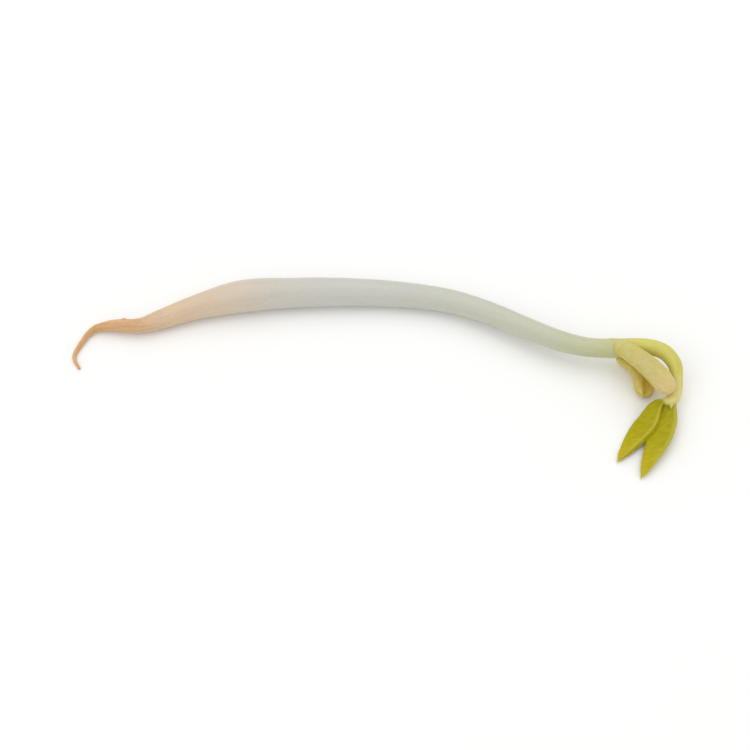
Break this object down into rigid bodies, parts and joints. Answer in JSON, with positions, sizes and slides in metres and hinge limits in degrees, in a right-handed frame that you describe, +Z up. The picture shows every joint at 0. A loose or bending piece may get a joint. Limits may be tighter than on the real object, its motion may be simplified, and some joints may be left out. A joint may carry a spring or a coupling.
{
  "type": "mung bean sprout",
  "caption": "Fresh mung bean sprout lying on its side: thin brown root, thick pale stem, plump seed leaves and a hooked green shoot ending in folded leaves and a bud.",
  "frame": {"origin": "on the resting surface, under the middle of the sprout's box", "axes": "+X along the sprout from the root to the leafy head, +Y away from the leaf tips' side, +Z up from the resting surface"},
  "size_m": [0.0628, 0.023, 0.0044],
  "materials": {
    "root": "matte",
    "stem": "satin",
    "shoot": "satin",
    "seed_leaf": "matte",
    "leaf": "matte",
    "bud": "matte"
  },
  "bodies": {
    "root": {"root": "root", "hypocotyl": "stem", "epicotyl": "shoot", "cotyledon_near": "seed_leaf", "cotyledon_far": "seed_leaf", "leaf_left": "leaf", "leaf_right": "leaf", "terminal_bud": "bud"}
  },
  "joints": []
}
